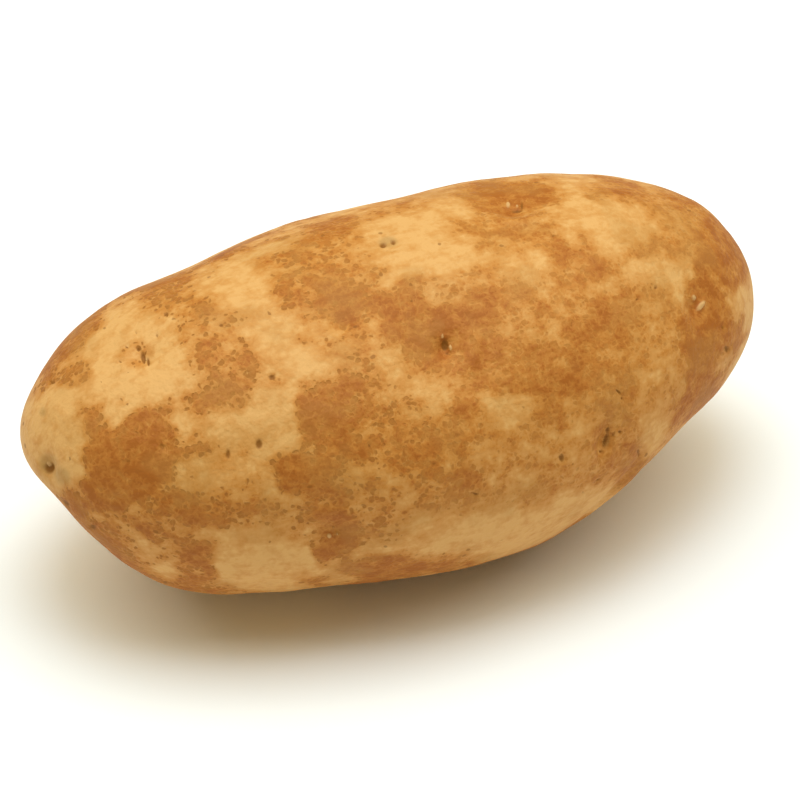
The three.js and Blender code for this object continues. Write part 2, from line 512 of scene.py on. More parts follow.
@dataclass(frozen=True)
class Viewpoint:
    """The photograph's camera: it looks down on the tuber's front from the stem end's side.

    The angles are in degrees, lens and sensor in millimetres, and image is the frame's side in
    pixels. The aim is given by how far it lies to the image's right and top of the body's
    origin, in millimetres, and pixels_per_mm is the scale there.
    """

    azimuth: float = -22.3
    elevation: float = 40.0
    lens: float = 180.0
    sensor: float = 36.0
    image: int = 800
    pixels_per_mm: float = 6.0
    aim_right: float = 0.53
    aim_up: float = -1.92

    @property
    def back(self) -> np.ndarray:
        """The unit vector from the tuber to the camera."""
        a, e = math.radians(self.azimuth), math.radians(self.elevation)
        return np.array([math.sin(a) * math.cos(e), -math.cos(a) * math.cos(e), math.sin(e)])

    @property
    def right(self) -> np.ndarray:
        """The unit vector to the image's right."""
        a = math.radians(self.azimuth)
        return np.array([math.cos(a), math.sin(a), 0.0])

    @property
    def up(self) -> np.ndarray:
        """The unit vector to the image's top."""
        return np.cross(self.back, self.right)

    @property
    def aim(self) -> np.ndarray:
        """The point in the middle of the image, in the body's own frame."""
        return self.aim_right * self.right + self.aim_up * self.up

    @property
    def distance(self) -> float:
        """How far the camera stands from its aim, in millimetres."""
        return self.lens / self.sensor * self.image / self.pixels_per_mm

    def pixels(self, points: np.ndarray) -> Pixels:
        """Where points of the body fall in the photograph's frame.

        Formula: the way from the camera to the image's right and top, over the way forwards,
        times the lens in pixels, from the image's middle.

        Args:
            points: places in the body's own frame, in millimetres.

        Returns:
            Pixel columns and rows, counted from the top left corner.
        """
        offset = points - (self.aim + self.back * self.distance)
        scale = self.lens / self.sensor * self.image / -(offset @ self.back)
        return self.image / 2 + scale * (offset @ self.right), self.image / 2 - scale * (offset @ self.up)


@dataclass(frozen=True)
class Patch:
    """An oval patch of skin in the photograph's frame.

    x and y are the pixel of its middle, half_long and half_short its half sizes in pixels, and
    tilt is how steeply it rises to the right, in degrees. strength is from 0 to 1.
    """

    x: float
    y: float
    half_long: float
    half_short: float
    tilt: float = 0.0
    strength: float = 1.0

    def out(self, px: np.ndarray, py: np.ndarray) -> np.ndarray:
        """How far out each pixel lies: 0 in the middle and 1 on the rim.

        Args:
            px: pixel columns.
            py: pixel rows.

        Returns:
            The distance from the middle, in half sizes along the oval's own axes.
        """
        c, s = math.cos(math.radians(self.tilt)), math.sin(math.radians(self.tilt))
        dx, dy = px - self.x, py - self.y
        return np.hypot((dx * c - dy * s) / self.half_long, (dx * s + dy * c) / self.half_short)

    def cover(self, px: np.ndarray, py: np.ndarray, rim: float) -> np.ndarray:
        """How much of the patch lies at each pixel.

        Args:
            px: pixel columns.
            py: pixel rows.
            rim: half the width of the soft rim, in pixels.

        Returns:
            The patch's strength inside, eased to 0 across the rim.
        """
        soft = min(SOFTEST_RIM, rim / min(self.half_long, self.half_short))
        return self.strength * (1.0 - ease(self.out(px, py), 1.0 - soft, 1.0 + soft))


# Russet skin, with two patches of painted shade: in the saucer of the eye near the stem end, and under the
# crown eye's brow
RUSSET_AND_SHADE = (
    # The tan ground, under everything else
    Patch(150, 288, 60, 18, 20, 0.35),
    Patch(235, 372, 60, 36, 0, 0.3),
    Patch(208, 324, 46, 26, 0, 0.48),
    Patch(235, 468, 84, 36, 0, 0.3),
    Patch(222, 526, 84, 32, 0, 0.4),
    Patch(322, 268, 66, 42, 5, 0.42),
    Patch(350, 325, 62, 36, 0, 0.42),
    Patch(378, 385, 44, 28, 0, 0.38),
    Patch(408, 430, 62, 38, 0, 0.28),
    Patch(402, 486, 84, 62, 0, 0.4),
    Patch(400, 205, 66, 14, 12, 0.3),
    Patch(470, 292, 64, 26, 0, 0.4),
    Patch(535, 335, 96, 60, 0, 0.42),
    Patch(520, 240, 76, 28, -8, 0.4),
    Patch(600, 266, 66, 36, 0, 0.34),
    Patch(640, 370, 64, 82, 0, 0.42),
    Patch(520, 458, 112, 52, 0, 0.4),
    Patch(668, 222, 38, 46, -30, 0.46),
    Patch(600, 186, 70, 14, -4, 0.34),
    Patch(478, 212, 46, 40, 0, 0.2),
    Patch(618, 462, 28, 34, 30, 0.4),
    Patch(140, 545, 54, 15, -43, 0.45),
    # The flank at the stem end, the darkest of all
    Patch(126, 462, 46, 44, 0, 1.0),
    Patch(150, 426, 34, 22, 10, 0.85),
    Patch(93, 420, 13, 22, 0, 0.72),
    Patch(100, 490, 34, 26, 0, 0.95),
    Patch(84, 506, 26, 11, -20, 0.85),
    Patch(186, 506, 42, 18, -10, 0.7),
    Patch(150, 530, 40, 14, -25, 0.7),
    Patch(172, 447, 16, 14, 0, 0.7),
    Patch(198, 562, 22, 28, 10, 0.75),
    Patch(236, 507, 28, 11, 0, 0.45),
    Patch(106, 550, 66, 14, -39, 1.0),
    Patch(190, 592, 56, 10, -10, 0.85),
    # The upper rim at the stem end
    Patch(80, 332, 34, 15, 45, 0.9),
    Patch(48, 366, 30, 9, 60, 0.8),
    Patch(70, 374, 20, 16, 0, 0.5),
    Patch(148, 280, 62, 13, 24, 0.75),
    Patch(184, 297, 44, 13, 6, 0.48),
    # Painted shade: a tan ring over the saucer of the eye near the stem end, darker where the hollow lies in
    # shade
    Patch(138, 355, 15, 14, 0, 0.42),
    # The open net between the stem end and the middle
    Patch(203, 355, 15, 11, 0, 0.55),
    Patch(238, 371, 30, 17, -5, 0.45),
    Patch(204, 397, 44, 13, 8, 0.55),
    Patch(245, 355, 16, 9, 0, 0.3),
    Patch(200, 440, 14, 20, 0, 0.35),
    # The ridge along the top
    Patch(226, 250, 34, 10, 24, 0.95),
    Patch(258, 238, 22, 7, 24, 0.8),
    Patch(336, 225, 44, 9, 12, 0.75),
    Patch(268, 268, 24, 7, 8, 0.35),
    Patch(318, 249, 36, 10, 5, 0.42),
    Patch(343, 270, 22, 10, 0, 0.52),
    Patch(316, 290, 38, 12, 0, 0.48),
    Patch(400, 200, 26, 6, 10, 0.3),
    # The middle, round its deep eye
    Patch(352, 309, 46, 13, 0, 0.6),
    Patch(348, 324, 13, 7, -25, 0.9),
    Patch(408, 297, 14, 10, 0, 0.65),
    Patch(403, 319, 20, 22, 0, 0.82),
    Patch(425, 334, 20, 21, 0, 1.0),
    Patch(463, 318, 30, 17, 0, 0.85),
    Patch(430, 364, 24, 23, 0, 0.85),
    Patch(466, 376, 26, 22, 0, 0.7),
    Patch(450, 345, 28, 24, 0, 0.62),
    Patch(455, 290, 36, 9, 0, 0.4),
    Patch(472, 235, 20, 7, -5, 0.35),
    Patch(372, 376, 18, 12, 0, 0.5),
    Patch(462, 405, 16, 12, 0, 0.85),
    # The patch that runs down from the middle to the low eye
    Patch(340, 388, 34, 12, 0, 0.8),
    Patch(329, 418, 32, 34, 0, 0.9),
    Patch(372, 420, 24, 22, 0, 0.45),
    Patch(350, 450, 22, 17, 0, 0.8),
    Patch(306, 478, 28, 24, 0, 0.88),
    Patch(324, 508, 22, 18, 0, 0.76),
    Patch(333, 543, 30, 26, 0, 0.92),
    Patch(372, 574, 40, 12, 9, 0.95),
    Patch(430, 564, 46, 12, 8, 0.95),
    Patch(490, 562, 34, 6, 10, 0.6),
    Patch(320, 581, 22, 6, 8, 0.6),
    Patch(425, 428, 30, 14, 0, 0.25),
    # The brow above the crown eye, and the painted shade under it
    Patch(512, 194, 44, 19, 0, 1.0),
    Patch(478, 189, 24, 9, -35, 0.85),
    Patch(548, 197, 20, 9, 15, 0.7),
    # Painted shade: a thin dark crescent under the brow, where the brow shades the skin
    Patch(497, 217, 19, 5, -12, 0.4),
    # Streaks and small patches towards the bud end
    Patch(525, 235, 46, 7, -10, 0.4),
    Patch(545, 250, 26, 9, -32, 0.42),
    Patch(568, 262, 15, 19, 0, 0.5),
    Patch(592, 271, 14, 11, 0, 0.58),
    Patch(612, 266, 16, 12, 0, 0.5),
    Patch(626, 190, 28, 10, -15, 0.85),
    Patch(585, 214, 17, 6, 5, 0.5),
    Patch(633, 253, 10, 10, 0, 0.36),
    Patch(520, 305, 44, 16, 0, 0.25),
    Patch(645, 296, 22, 10, 0, 0.3),
    # The wide net on the front
    Patch(532, 366, 72, 30, -5, 0.55),
    Patch(588, 322, 30, 20, 0, 0.6),
    Patch(620, 320, 24, 14, 0, 0.3),
    Patch(576, 390, 20, 13, 10, 0.82),
    Patch(557, 412, 17, 14, 0, 0.8),
    Patch(520, 438, 34, 14, 0, 0.2),
    Patch(616, 395, 20, 26, 0, 0.3),
    Patch(630, 460, 13, 19, -30, 0.65),
    Patch(648, 466, 16, 6, 40, 0.6),
    # The bud end
    Patch(688, 200, 24, 12, -42, 0.85),
    Patch(720, 256, 32, 40, 0, 0.95),
    Patch(704, 286, 18, 17, 0, 1.0),
    Patch(709, 332, 29, 46, 0, 0.95),
    Patch(704, 385, 20, 24, 0, 0.78),
    Patch(688, 409, 30, 14, 50, 0.76),
    Patch(744, 333, 8, 9, 0, 0.6),
)

PALE = (
    Patch(46, 430, 34, 38, 0, 0.95),
    Patch(64, 480, 14, 16, 40, 0.8),
    Patch(122, 527, 12, 5, -45, 0.8),
    Patch(146, 549, 14, 6, -43, 0.85),
    Patch(166, 567, 11, 7, -38, 0.8),
    Patch(109, 510, 8, 7, 0, 0.6),
    Patch(124, 328, 24, 18, 0, 0.6),
    Patch(166, 374, 20, 16, 0, 0.6),
    Patch(245, 285, 26, 16, 0, 0.5),
    Patch(262, 328, 30, 26, 0, 0.6),
    Patch(270, 420, 30, 36, 0, 0.9),
    Patch(215, 465, 38, 17, 0, 0.4),
    Patch(258, 556, 44, 32, 0, 0.8),
    Patch(275, 245, 26, 8, 18, 0.7),
    Patch(372, 250, 26, 12, 8, 0.6),
    Patch(426, 256, 34, 28, 0, 0.85),
    Patch(420, 392, 26, 9, 0, 0.5),
    Patch(318, 345, 20, 14, 0, 0.2),
    Patch(512, 412, 40, 18, -5, 0.4),
    Patch(522, 272, 32, 15, 0, 0.6),
    Patch(624, 226, 32, 24, 0, 0.85),
    Patch(450, 209, 28, 11, -25, 0.7),
    Patch(566, 183, 20, 7, 0, 0.7),
    Patch(598, 203, 26, 8, 5, 0.6),
    Patch(582, 225, 26, 12, 0, 0.4),
    Patch(645, 272, 22, 18, 0, 0.6),
    Patch(652, 430, 14, 22, -25, 0.85),
    Patch(336, 572, 14, 7, 10, 0.8),
    Patch(364, 551, 20, 6, 35, 0.7),
    Patch(747, 306, 9, 20, 0, 0.85),
    Patch(733, 364, 14, 12, 60, 0.6),
    Patch(490, 536, 56, 18, 8, 0.85),
    Patch(420, 534, 24, 12, 15, 0.6),
    Patch(580, 508, 42, 17, 35, 0.85),
    Patch(460, 360, 13, 10, 0, 0.5),
)


class Dot(Enum):
    """What a small mark in the photograph's frame is."""

    # Dark marks are pits and old lenticels, and one of them is a painted shadow under the middle eye's pit
    DARK = "a pit or an old lenticel, dark brown"
    BUD = "a bud or its scales, pale"
    STAIN = "a grey brown stain"


MARKS = {
    Dot.DARK: (
        Patch(49, 468, 7, 8, 0, 0.8),
        Patch(143, 358, 3, 8, 8, 0.85),
        Patch(148, 362, 2, 6, 8, 0.75),
        Patch(138, 349, 3, 3, 30, 0.7),
        Patch(126, 347, 3, 4, 0, 0.6),
        Patch(120, 361, 2, 4, 30, 0.5),
        Patch(129, 372, 5, 2, 0, 0.5),
        Patch(136, 332, 3, 3, 0, 0.5),
        Patch(157, 335, 3, 4, 0, 0.5),
        Patch(383, 245, 7, 5, 0, 0.55),
        Patch(393, 242, 6, 5, -30, 0.5),
        Patch(445, 345, 4, 6, 0, 1.0),
        # Painted shadow: a thin dark line just under the middle eye's pit
        Patch(448, 354, 7, 2, -5, 0.45),
        Patch(448, 328, 2, 12, 8, 0.45),
        Patch(517, 211, 8, 2, 5, 0.75),
        Patch(522, 205, 2, 7, 0, 0.7),
        Patch(272, 377, 5, 4, 0, 0.8),
        Patch(166, 314, 4, 3, 0, 0.8),
        Patch(160, 408, 3, 4, 0, 0.7),
        Patch(162, 446, 5, 6, 0, 0.6),
        Patch(221, 325, 4, 3, 0, 0.7),
        Patch(259, 444, 5, 7, 0, 0.75),
        Patch(228, 454, 5, 11, 0, 0.5),
        Patch(253, 483, 4, 4, 0, 0.4),
        Patch(411, 300, 3, 3, 0, 0.7),
        Patch(370, 447, 2, 6, 20, 0.6),
        Patch(434, 464, 4, 3, 0, 0.55),
        Patch(476, 494, 5, 2, -15, 0.75),
        Patch(410, 517, 4, 3, 0, 0.5),
        Patch(562, 458, 4, 6, 0, 0.75),
        Patch(606, 440, 3, 12, -18, 0.75),
        Patch(601, 452, 2, 5, -30, 0.6),
        Patch(608, 430, 3, 5, -20, 0.7),
        Patch(614, 434, 2, 6, -10, 0.6),
        Patch(620, 432, 3, 3, 0, 0.6),
        Patch(619, 392, 5, 2, -50, 0.8),
        Patch(622, 399, 2, 3, 0, 0.6),
        Patch(583, 493, 3, 2, 0, 0.6),
        Patch(604, 414, 8, 2, -55, 0.4),
        Patch(598, 480, 5, 2, 30, 0.65),
        Patch(639, 453, 2, 8, 0, 0.6),
        Patch(572, 324, 2, 3, 0, 0.7),
        Patch(554, 235, 3, 3, 0, 0.6),
        Patch(497, 236, 4, 2, 0, 0.6),
        Patch(638, 299, 3, 3, 0, 0.6),
        Patch(656, 287, 3, 4, 0, 0.6),
        Patch(727, 349, 5, 4, -30, 0.8),
        Patch(723, 327, 3, 4, 0, 0.6),
        Patch(700, 360, 2, 6, 10, 0.65),
        Patch(93, 527, 5, 4, 0, 0.7),
        Patch(66, 503, 6, 3, -35, 0.7),
        Patch(165, 583, 3, 3, 0, 0.7),
        Patch(121, 399, 4, 3, 0, 0.6),
        Patch(52, 382, 5, 3, 0, 0.6),
    ),
    Dot.BUD: (
        Patch(49, 464, 3, 4, 0, 0.8),
        Patch(442, 337, 2, 3, 0, 0.8),
        Patch(450, 348, 2, 4, 10, 0.8),
        Patch(444, 326, 2, 8, 0, 0.3),
        Patch(508, 206, 3, 4, 0, 0.75),
        Patch(517, 207, 3, 3, 0, 0.5),
        Patch(693, 298, 3, 4, 0, 0.8),
        Patch(700, 306, 3, 7, -40, 0.95),
        Patch(329, 535, 4, 4, 0, 0.6),
        Patch(337, 533, 2, 3, 0, 0.5),
        Patch(333, 527, 2, 2, 0, 0.4),
    ),
    Dot.STAIN: (
        Patch(48, 463, 14, 15, 0, 0.7),
        Patch(62, 476, 20, 14, -55, 0.6),
        Patch(43, 412, 10, 13, 0, 0.4),
        Patch(388, 242, 15, 9, 0, 0.7),
        Patch(606, 442, 7, 15, -18, 0.5),
    ),
}


@dataclass(frozen=True)
class SkinPattern:
    """How much of each kind of skin there is at each point of the tuber.

    The patches' rims are bent by up to about ragged_px, with a grain of ragged_mm. turned_away
    is the step over which the shown side gives way to the hidden one. On the hidden side, clouds
    and scraps of russet lie on hidden_least of it, halo is the russet round an eye, and bud_mm
    is half a bud's thickness and length.
    """

    view: Viewpoint = Viewpoint()
    form: TuberForm = TuberForm()
    ragged_px: float = 9.5
    ragged_mm: float = 7.0
    ragged_seeds: tuple[int, int] = (11, 21)
    patch_rim_px: float = 8.0
    turned_away: Span = (0.0, 0.14)
    hidden_least: float = 0.2
    hidden_more: float = 0.7
    cloud_stretch: tuple[float, float, float] = (0.7, 1.0, 1.0)
    cloud_mm: float = 24.0
    cloud_seed: int = 21
    cloud_step: Span = (-0.25, 0.65)
    scrap_mm: float = 8.0
    scrap_seed: int = 23
    scrap_share: float = 0.55
    halo: float = 0.55
    pit_mm: float = 1.3
    bud_mm: Span = (0.75, 1.3)

    def seen(self, normals: np.ndarray) -> np.ndarray:
        """1 where the skin faces the photograph's camera, 0 where it is turned away."""
        return ease(normals @ self.view.back, *self.turned_away)

    def layer(self, patches: tuple[Patch, ...], px: np.ndarray, py: np.ndarray) -> np.ndarray:
        """The patches laid over each other: the bare share is the product of what each leaves.

        Args:
            patches: the patches.
            px: pixel columns.
            py: pixel rows.

        Returns:
            How far the patches cover each pixel, from 0 to 1.
        """
        bare = np.ones(len(px))
        for patch in patches:
            bare *= 1.0 - patch.cover(px, py, self.patch_rim_px)
        return 1.0 - bare

    def hidden_eyes(self) -> list[Eye]:
        """The eyes that the photograph doesn't show."""
        ways = [(eye, self.form.outward(eye.direction()[None, :])) for eye in EYES.values()]
        return [eye for eye, way in ways if self.seen(way)[0] < 0.5]

    def russet(self, points: np.ndarray, normals: np.ndarray, pixels: Pixels) -> np.ndarray:
        """The share of russet skin at each point, painted shade included.

        Formula: on the side that the photograph shows, the russet and painted shade patches less the
        pale ones, with ragged rims from noise. On the hidden side, clouds and scraps from noise, and a
        russet halo round each eye.

        Args:
            points: points of the body.
            normals: the way the skin faces there.
            pixels: where the skin falls in the photograph's frame.

        Returns:
            Values from 0, pale, to 1, all russet.
        """
        bends = [self.ragged_px * noise(points, self.ragged_mm, seed, layers=4) for seed in self.ragged_seeds]
        px, py = (pixel + bend for pixel, bend in zip(pixels, bends))
        shown = self.layer(RUSSET_AND_SHADE, px, py)
        shown *= 1.0 - self.layer(PALE, px, py)
        stretched = points * np.array(self.cloud_stretch)
        cloud = noise(stretched, self.cloud_mm, self.cloud_seed, layers=2)
        cloud += self.scrap_share * noise(stretched, self.scrap_mm, self.scrap_seed, layers=3)
        hidden = self.hidden_least + self.hidden_more * ease(cloud, *self.cloud_step)
        for eye in self.hidden_eyes():
            u, v, w = self.form.local(eye, points)
            hidden += self.halo * bell(np.sqrt(u * u + v * v + w * w), eye.saucer)
        seen = self.seen(normals)
        return np.clip(seen * shown + (1.0 - seen) * hidden, 0.0, 1.0)

    def marks(self, kind: Dot, points: np.ndarray, normals: np.ndarray, pixels: Pixels) -> np.ndarray:
        """How deep inside a small mark of one kind each point lies.

        Formula: a mark's strength less the distance from its middle in half sizes, for the
        mark that gives the most. On the hidden side each eye has a dark pit, and an open eye
        has a pale bud beside it, towards its brow.

        Args:
            kind: what the marks are.
            points: points of the body.
            normals: the way the skin faces there.
            pixels: where the skin falls in the photograph's frame.

        Returns:
            Values from -1, far from any mark, to 1 in the middle of a strong one.
        """
        depth = np.full(len(points), -1.0)
        for patch in MARKS[kind]:
            depth = np.maximum(depth, patch.strength - patch.out(*pixels))
        depth = np.where(normals @ self.view.back > self.turned_away[0], depth, -1.0)
        for eye in self.hidden_eyes():
            u, v, w = self.form.local(eye, points)
            facing = math.radians(eye.facing)
            towards = u * math.cos(facing) + v * math.sin(facing)
            beside = np.hypot(v * math.cos(facing) - u * math.sin(facing), w)
            if kind is Dot.DARK:
                depth = np.maximum(depth, 1.0 - np.hypot(towards, beside) / self.pit_mm)
            elif kind is Dot.BUD and eye.bud is Bud.OPEN:
                thick, long = self.bud_mm
                depth = np.maximum(depth, 1.0 - np.hypot((towards - thick) / thick, beside / long))
        return depth


# The skin's material


class Graph:
    """Builds a material's nodes from short steps."""

    def __init__(self, tree: bpy.types.NodeTree) -> None:
        """Keeps the tree and its shader."""
        self.tree = tree
        self.shader = tree.nodes["Principled BSDF"]

    def node(self, kind: str, **settings: object) -> bpy.types.Node:
        """A new node of a kind, with its settings.

        Args:
            kind: the node's type.
            settings: the properties to set on it.

        Returns:
            The node.
        """
        made = self.tree.nodes.new(kind)
        for name, value in settings.items():
            setattr(made, name, value)
        return made

    def put(self, value: object, socket: Socket) -> None:
        """Links a socket to another, or sets its value.

        Args:
            value: an output socket, a number or a colour.
            socket: the input that takes it.
        """
        if isinstance(value, Socket):
            self.tree.links.new(value, socket)
        elif isinstance(value, tuple) and len(value) == 3 and socket.type == "RGBA":
            socket.default_value = (*value, 1.0)
        else:
            socket.default_value = value

    def math(self, operation: str, a: object, b: object = 0.0) -> Socket:
        """One operation on two numbers.

        Args:
            operation: what is done.
            a: the first number.
            b: the second number.

        Returns:
            The result.
        """
        made = self.node("ShaderNodeMath", operation=operation)
        self.put(a, made.inputs[0])
        self.put(b, made.inputs[1])
        return made.outputs[0]

    def scale(self, a: object, factor: float) -> Socket:
        """A number times a factor."""
        return self.math("MULTIPLY", a, factor)

    def scale_add(self, a: object, factor: float, offset: float) -> Socket:
        """A number times a factor, plus an offset."""
        return self.math("ADD", self.scale(a, factor), offset)

    def fade(self, value: object, where: object, share: float) -> Socket:
        """A value that loses a share of itself where the second value is 1."""
        return self.math("MULTIPLY", value, self.scale_add(where, -share, 1.0))

    def sum(self, start: object, *terms: tuple[object, float, float]) -> Socket:
        """A start plus terms, each a number with an offset added and then a factor applied.

        Args:
            start: what the terms are added to.
            terms: a number, an offset and a factor each.

        Returns:
            The total.
        """
        total = start
        for value, offset, factor in terms:
            total = self.math("ADD", total, self.scale(self.math("ADD", value, offset), factor))
        return total

    def step(self, value: object, low: float, high: float) -> Socket:
        """A smooth step from 0 at low to 1 at high.

        Args:
            value: the number.
            low: where the step starts.
            high: where it ends.

        Returns:
            A number from 0 to 1.
        """
        made = self.node("ShaderNodeMapRange", interpolation_type="SMOOTHSTEP")
        self.put(value, made.inputs["Value"])
        made.inputs["From Min"].default_value = low
        made.inputs["From Max"].default_value = high
        return made.outputs["Result"]

    def mix(self, factor: object, a: object, b: object) -> Socket:
        """The blend of two colours.

        Args:
            factor: how much of the second there is.
            a: the first colour.
            b: the second colour.

        Returns:
            The colour.
        """
        made = self.node("ShaderNodeMix", data_type="RGBA")
        # The colours' sockets come after those for numbers and vectors
        self.put(factor, made.inputs[0])
        self.put(a, made.inputs[6])
        self.put(b, made.inputs[7])
        return made.outputs[2]

    def stretch(self, place: object, scale: tuple[float, float, float]) -> Socket:
        """The place, scaled along each axis, so that a pattern runs long where the scale is small.

        Args:
            place: the place on the piece.
            scale: the factor along X, Y and Z.

        Returns:
            The scaled place.
        """
        made = self.node("ShaderNodeMapping")
        made.inputs["Scale"].default_value = scale
        self.put(place, made.inputs["Vector"])
        return made.outputs["Vector"]

    def object_mm(self) -> Socket:
        """The place on the piece, in millimetres."""
        return self.stretch(self.node("ShaderNodeTexCoord").outputs["Object"], (1.0 / MM,) * 3)

    def along(self, place: object) -> Socket:
        """How far the place lies towards the bud end.

        Args:
            place: the place on the piece.

        Returns:
            The place's X.
        """
        parts = self.node("ShaderNodeSeparateXYZ")
        self.put(place, parts.inputs["Vector"])
        return parts.outputs["X"]

    def split(self, colour: object) -> list[Socket]:
        """The three channels of a colour.

        Args:
            colour: the colour.

        Returns:
            Red, green and blue.
        """
        parts = self.node("ShaderNodeSeparateColor")
        self.put(colour, parts.inputs["Color"])
        return list(parts.outputs)

    def channels(self, name: str) -> list[Socket]:
        """The four channels of a vertex attribute."""
        attribute = self.node("ShaderNodeAttribute", attribute_name=name)
        return [*self.split(attribute.outputs["Color"]), attribute.outputs["Alpha"]]

    def grain(self, place: object, size: float, detail: float) -> bpy.types.Node:
        """A noise node whose grain is about size millimetres.

        Args:
            place: the place, in millimetres.
            size: the size of the grain.
            detail: how many finer layers it has.

        Returns:
            The node.
        """
        made = self.node("ShaderNodeTexNoise")
        self.put(place, made.inputs["Vector"])
        made.inputs["Scale"].default_value = 1.0 / size
        made.inputs["Detail"].default_value = detail
        return made

    def noise(self, place: object, size: float, detail: float = 2.0) -> Socket:
        """Smooth noise from 0 to 1, whose grain is about size millimetres."""
        return self.grain(place, size, detail).outputs["Fac"]

    def bend(self, place: object, size: float, amount: float) -> Socket:
        """The place, pushed about by noise, so that cells get uneven sides.

        Formula: the place plus the noise's colour times the amount.

        Args:
            place: the place, in millimetres.
            size: the grain of the noise.
            amount: how far it pushes, in millimetres.

        Returns:
            The bent place.
        """
        shift = self.node("ShaderNodeVectorMath", operation="MULTIPLY_ADD")
        self.put(self.grain(place, size, detail=1.0).outputs["Color"], shift.inputs[0])
        shift.inputs[1].default_value = (amount,) * 3
        self.put(place, shift.inputs[2])
        return shift.outputs[0]

    def cells(self, place: object, size: float, feature: str = "F1") -> bpy.types.Node:
        """A node of small cells that are about size millimetres wide.

        Args:
            place: the place, in millimetres.
            size: the width of a cell.
            feature: what its distance is measured to, a cell's middle unless it says otherwise.

        Returns:
            The node.
        """
        made = self.node("ShaderNodeTexVoronoi", feature=feature)
        self.put(place, made.inputs["Vector"])
        made.inputs["Scale"].default_value = 1.0 / size
        return made

    def ramp(self, value: object, stops: tuple[tuple[float, Colour], ...]) -> Socket:
        """The colour that a value picks from stops, each a number from 0 to 1 and its colour.

        Args:
            value: the number.
            stops: the stops, in rising order.

        Returns:
            The colour.
        """
        made = self.node("ShaderNodeValToRGB")
        self.put(value, made.inputs["Fac"])
        marks = made.color_ramp.elements
        for number, (at, colour) in enumerate(stops):
            mark = marks[number] if number < len(marks) else marks.new(at)
            mark.position = at
            mark.color = (*colour, 1.0)
        return made.outputs["Color"]

    def bump(self, height: object, distance: float) -> Socket:
        """The normal of a height in the pattern, over a real distance in metres.

        Args:
            height: the height.
            distance: how high a height of 1 stands.

        Returns:
            The normal.
        """
        made = self.node("ShaderNodeBump")
        made.inputs["Distance"].default_value = distance
        self.put(height, made.inputs["Height"])
        return made.outputs["Normal"]

    def surface(self, colour: object, rough: object, normal: object, gloss: float) -> None:
        """Sets the shader's colour, roughness, normal and gloss.

        Args:
            colour: the base colour.
            rough: the roughness.
            normal: the normal.
            gloss: the specular level, the same all over.
        """
        self.put(colour, self.shader.inputs["Base Color"])
        self.put(rough, self.shader.inputs["Roughness"])
        self.put(normal, self.shader.inputs["Normal"])
        self.shader.inputs["Specular IOR Level"].default_value = gloss


